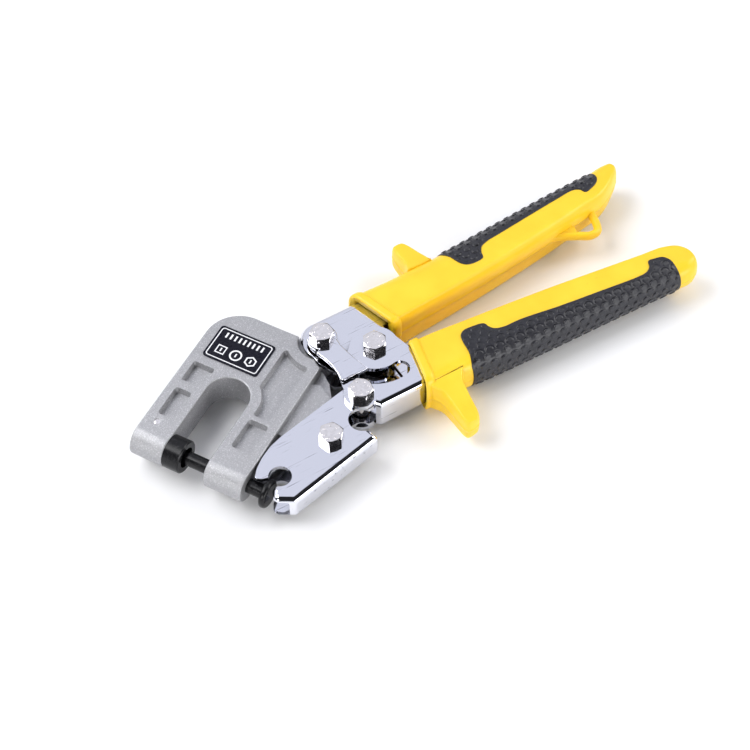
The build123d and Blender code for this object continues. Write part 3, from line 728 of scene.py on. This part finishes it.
loop_faces = strip_faces(len(loop_rings), LOOP_POINTS, closed=True)
loop_faces += [tuple(range(LOOP_POINTS)), tuple(range(loop_end, loop_end + LOOP_POINTS))]
loop = new_object("lanyard_loop", to_world(np.vstack(loop_rings)), loop_faces)
loop_web = pillow("lanyard_loop_web", closed_line(LOOP_WEB, PLAN_STEP), WEB_HALF, WEB_INSET, WEB_FULLNESS, 1)
for piece in (loop, loop_web):
    paint(piece, FINISHES["yellow_plastic"])
    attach(piece, FIXED)


# ---- print on the label: a border line and plain geometric marks
label_low, label_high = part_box("label_plate")
LABEL_CENTRE = (label_low + label_high) / 2
LABEL_U, LABEL_W = 18.8, 28.1   # the plate's sides; u across the rows of marks, w along them
BORDER_OUTER = (1.0, 1.3)       # distance from the plate's edge, corner radius
BORDER_INNER = (1.5, 0.9)
MARK_ROW, MARK_PITCH = -3.2, 7.6
MARK_LINE = 0.8                 # width of the marks' lines
BAR_COUNT, BAR_PITCH, BAR_WIDTH, BAR_ENDS = 9, 2.3, 0.9, (3.6, 6.6)
PRINT_HEIGHT = 0.03


def on_label(u, w):
    c, s = math.cos(HEAD_ANGLE), math.sin(HEAD_ANGLE)
    return (LABEL_CENTRE.x + (u * c - w * s) * MM, LABEL_CENTRE.y + (u * s + w * c) * MM)


def rounded_rectangle(half_u, half_w, radius, steps=6):
    points = []
    for cu, cw, start in ((1, 1, 0), (-1, 1, 90), (-1, -1, 180), (1, -1, 270)):
        for k in range(steps + 1):
            a = math.radians(start + 90 * k / steps)
            points.append((cu * (half_u - radius) + radius * math.cos(a),
                           cw * (half_w - radius) + radius * math.sin(a)))
    return points


def flat_mark(outlines):
    """Thin raised print from closed outlines, or from (outer, inner) pairs for lines."""
    vertices, faces = [], []
    z = label_high.z + PRINT_HEIGHT * MM
    for outline in outlines:
        base = len(vertices)
        if isinstance(outline, tuple):
            outer, inner = outline
            vertices += [(*on_label(*p), z) for p in outer] + [(*on_label(*p), z) for p in inner]
            n = len(outer)
            faces += [(base + i, base + (i + 1) % n, base + n + (i + 1) % n, base + n + i) for i in range(n)]
        else:
            vertices += [(*on_label(*p), z) for p in outline]
            faces.append(tuple(range(base, base + len(outline))))
    return vertices, faces


def polygon_ring(cw, radius, sides, turn=0.0):
    """A closed line of even width round a centre in the row of marks."""
    angles = [turn + 2 * math.pi * k / sides for k in range(sides)]
    outer, inner = ([(MARK_ROW + r * math.cos(a), cw + r * math.sin(a)) for a in angles]
                    for r in (radius, radius - MARK_LINE))
    return outer, inner


def bar(u_ends, w, half_width):
    low, high = u_ends
    return [(low, w - half_width), (high, w - half_width), (high, w + half_width), (low, w + half_width)]


marks = [tuple(rounded_rectangle(LABEL_U / 2 - edge, LABEL_W / 2 - edge, radius)
               for edge, radius in (BORDER_OUTER, BORDER_INNER))]
marks.append(polygon_ring(-MARK_PITCH, 3.0, 6))
marks.append(polygon_ring(0.0, 3.0, 32))
marks.append(polygon_ring(MARK_PITCH, 3.3, 4, math.pi / 4))
for w in (-MARK_PITCH, 0.0, MARK_PITCH):
    marks.append(bar((MARK_ROW - 1, MARK_ROW + 1), w, 0.35))
for index in range(BAR_COUNT):
    marks.append(bar(BAR_ENDS, (index - (BAR_COUNT - 1) / 2) * BAR_PITCH, BAR_WIDTH / 2))
vertices, faces = flat_mark(marks)
label_print = new_object("label_print", vertices, faces)
paint(label_print, label_white())
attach(label_print, FIXED)

# ---- floor, light and camera
floor_mat, tree, shader = material("floor")
floor_tone = mix_colour(tree, noise(tree, coords(tree), 0.01), (0.92, 0.92, 0.925, 1), (0.94, 0.94, 0.94, 1))
tree.links.new(floor_tone, shader.inputs["Base Color"])
shader.inputs["Roughness"].default_value = 0.9
FLOOR_HALF = 4.0
corners = [(x * FLOOR_HALF, y * FLOOR_HALF, cad_low.z) for x, y in ((-1, -1), (1, -1), (1, 1), (-1, 1))]
floor = new_object("floor", corners, [(0, 1, 2, 3)])
paint(floor, floor_mat)

# a pale sky with three dark curtains, which the polished steel reflects
world = bpy.data.worlds.new("studio")
bpy.context.scene.world = world
world.use_nodes = True
tree = world.node_tree
background = tree.nodes["Background"]
direction = node(tree, "ShaderNodeTexCoord").outputs["Generated"]
axes = node(tree, "ShaderNodeSeparateXYZ", {"Vector": direction}).outputs


def over(axis, start, end):
    """0 at start, rising to 1 at end, which may lie on either side of it, along one axis."""
    if start > end:
        return ramp(tree, axes[axis], end, start, 1, 0)
    return ramp(tree, axes[axis], start, end, 0, 1)


def curtain(*limits):
    """1 inside all the limits."""
    shade = limits[0]
    for limit in limits[1:]:
        shade = maths(tree, "MULTIPLY", shade, limit)
    return shade


sky = mix_colour(tree, over("Z", 0.0, 0.8), (0.74, 0.74, 0.77, 1), (0.87, 0.89, 1.0, 1))
dark = curtain(over("Y", 0.12, -0.02), over("Z", 0.26, 0.36))
for next_curtain in (
        curtain(over("X", -0.36, -0.50), over("Z", 0.20, 0.28), over("Z", 0.64, 0.56)),
        curtain(over("X", 0.50, 0.64), over("Y", 0.0, 0.15), over("Z", 0.04, 0.12), over("Z", 0.52, 0.40))):
    dark = maths(tree, "MAXIMUM", dark, next_curtain)
tree.links.new(mix_colour(tree, dark, sky, (0.02, 0.02, 0.022, 1)), background.inputs["Color"])
background.inputs["Strength"].default_value = 0.9


def soft_light(name, place, target, size, power):
    data = bpy.data.lights.new(name, "AREA")
    data.shape = "RECTANGLE"
    data.size, data.size_y = size
    data.energy = power
    lamp = bpy.data.objects.new(name, data)
    lamp.location = place
    lamp.rotation_mode = "QUATERNION"
    lamp.rotation_quaternion = (Vector(target) - Vector(place)).to_track_quat("-Z", "Y")
    bpy.context.scene.collection.objects.link(lamp)


soft_light("key", (-0.70, 0.62, 1.05), (0, 0, 0), (1.1, 0.9), 15.0)
soft_light("right", (1.05, -0.30, 0.75), (0, 0, 0), (0.8, 0.8), 9.0)
soft_light("front", (0.15, -1.20, 0.34), (0, 0, 0.01), (1.2, 0.3), 7.0)
soft_light("left", (-1.0, -0.45, 0.45), (0, 0, 0), (0.4, 0.4), 3.5)

LOOK_AT = Vector(PIVOT) + Vector((-5.1, -8.65, 0)) * MM
BACK = Vector((-0.3135, -0.5056, 0.8039))       # from the object towards the camera
DISTANCE = 0.79775
camera = bpy.data.objects.new("camera", bpy.data.cameras.new("camera"))
camera.data.lens = 85               # millimetres, as is the sensor
camera.data.sensor_width = 36
camera.location = LOOK_AT + BACK * DISTANCE
camera.rotation_mode = "QUATERNION"
camera.rotation_quaternion = (-BACK).to_track_quat("-Z", "Y")
bpy.context.scene.collection.objects.link(camera)
bpy.context.scene.camera = camera
bpy.context.scene.view_settings.view_transform = "Standard"
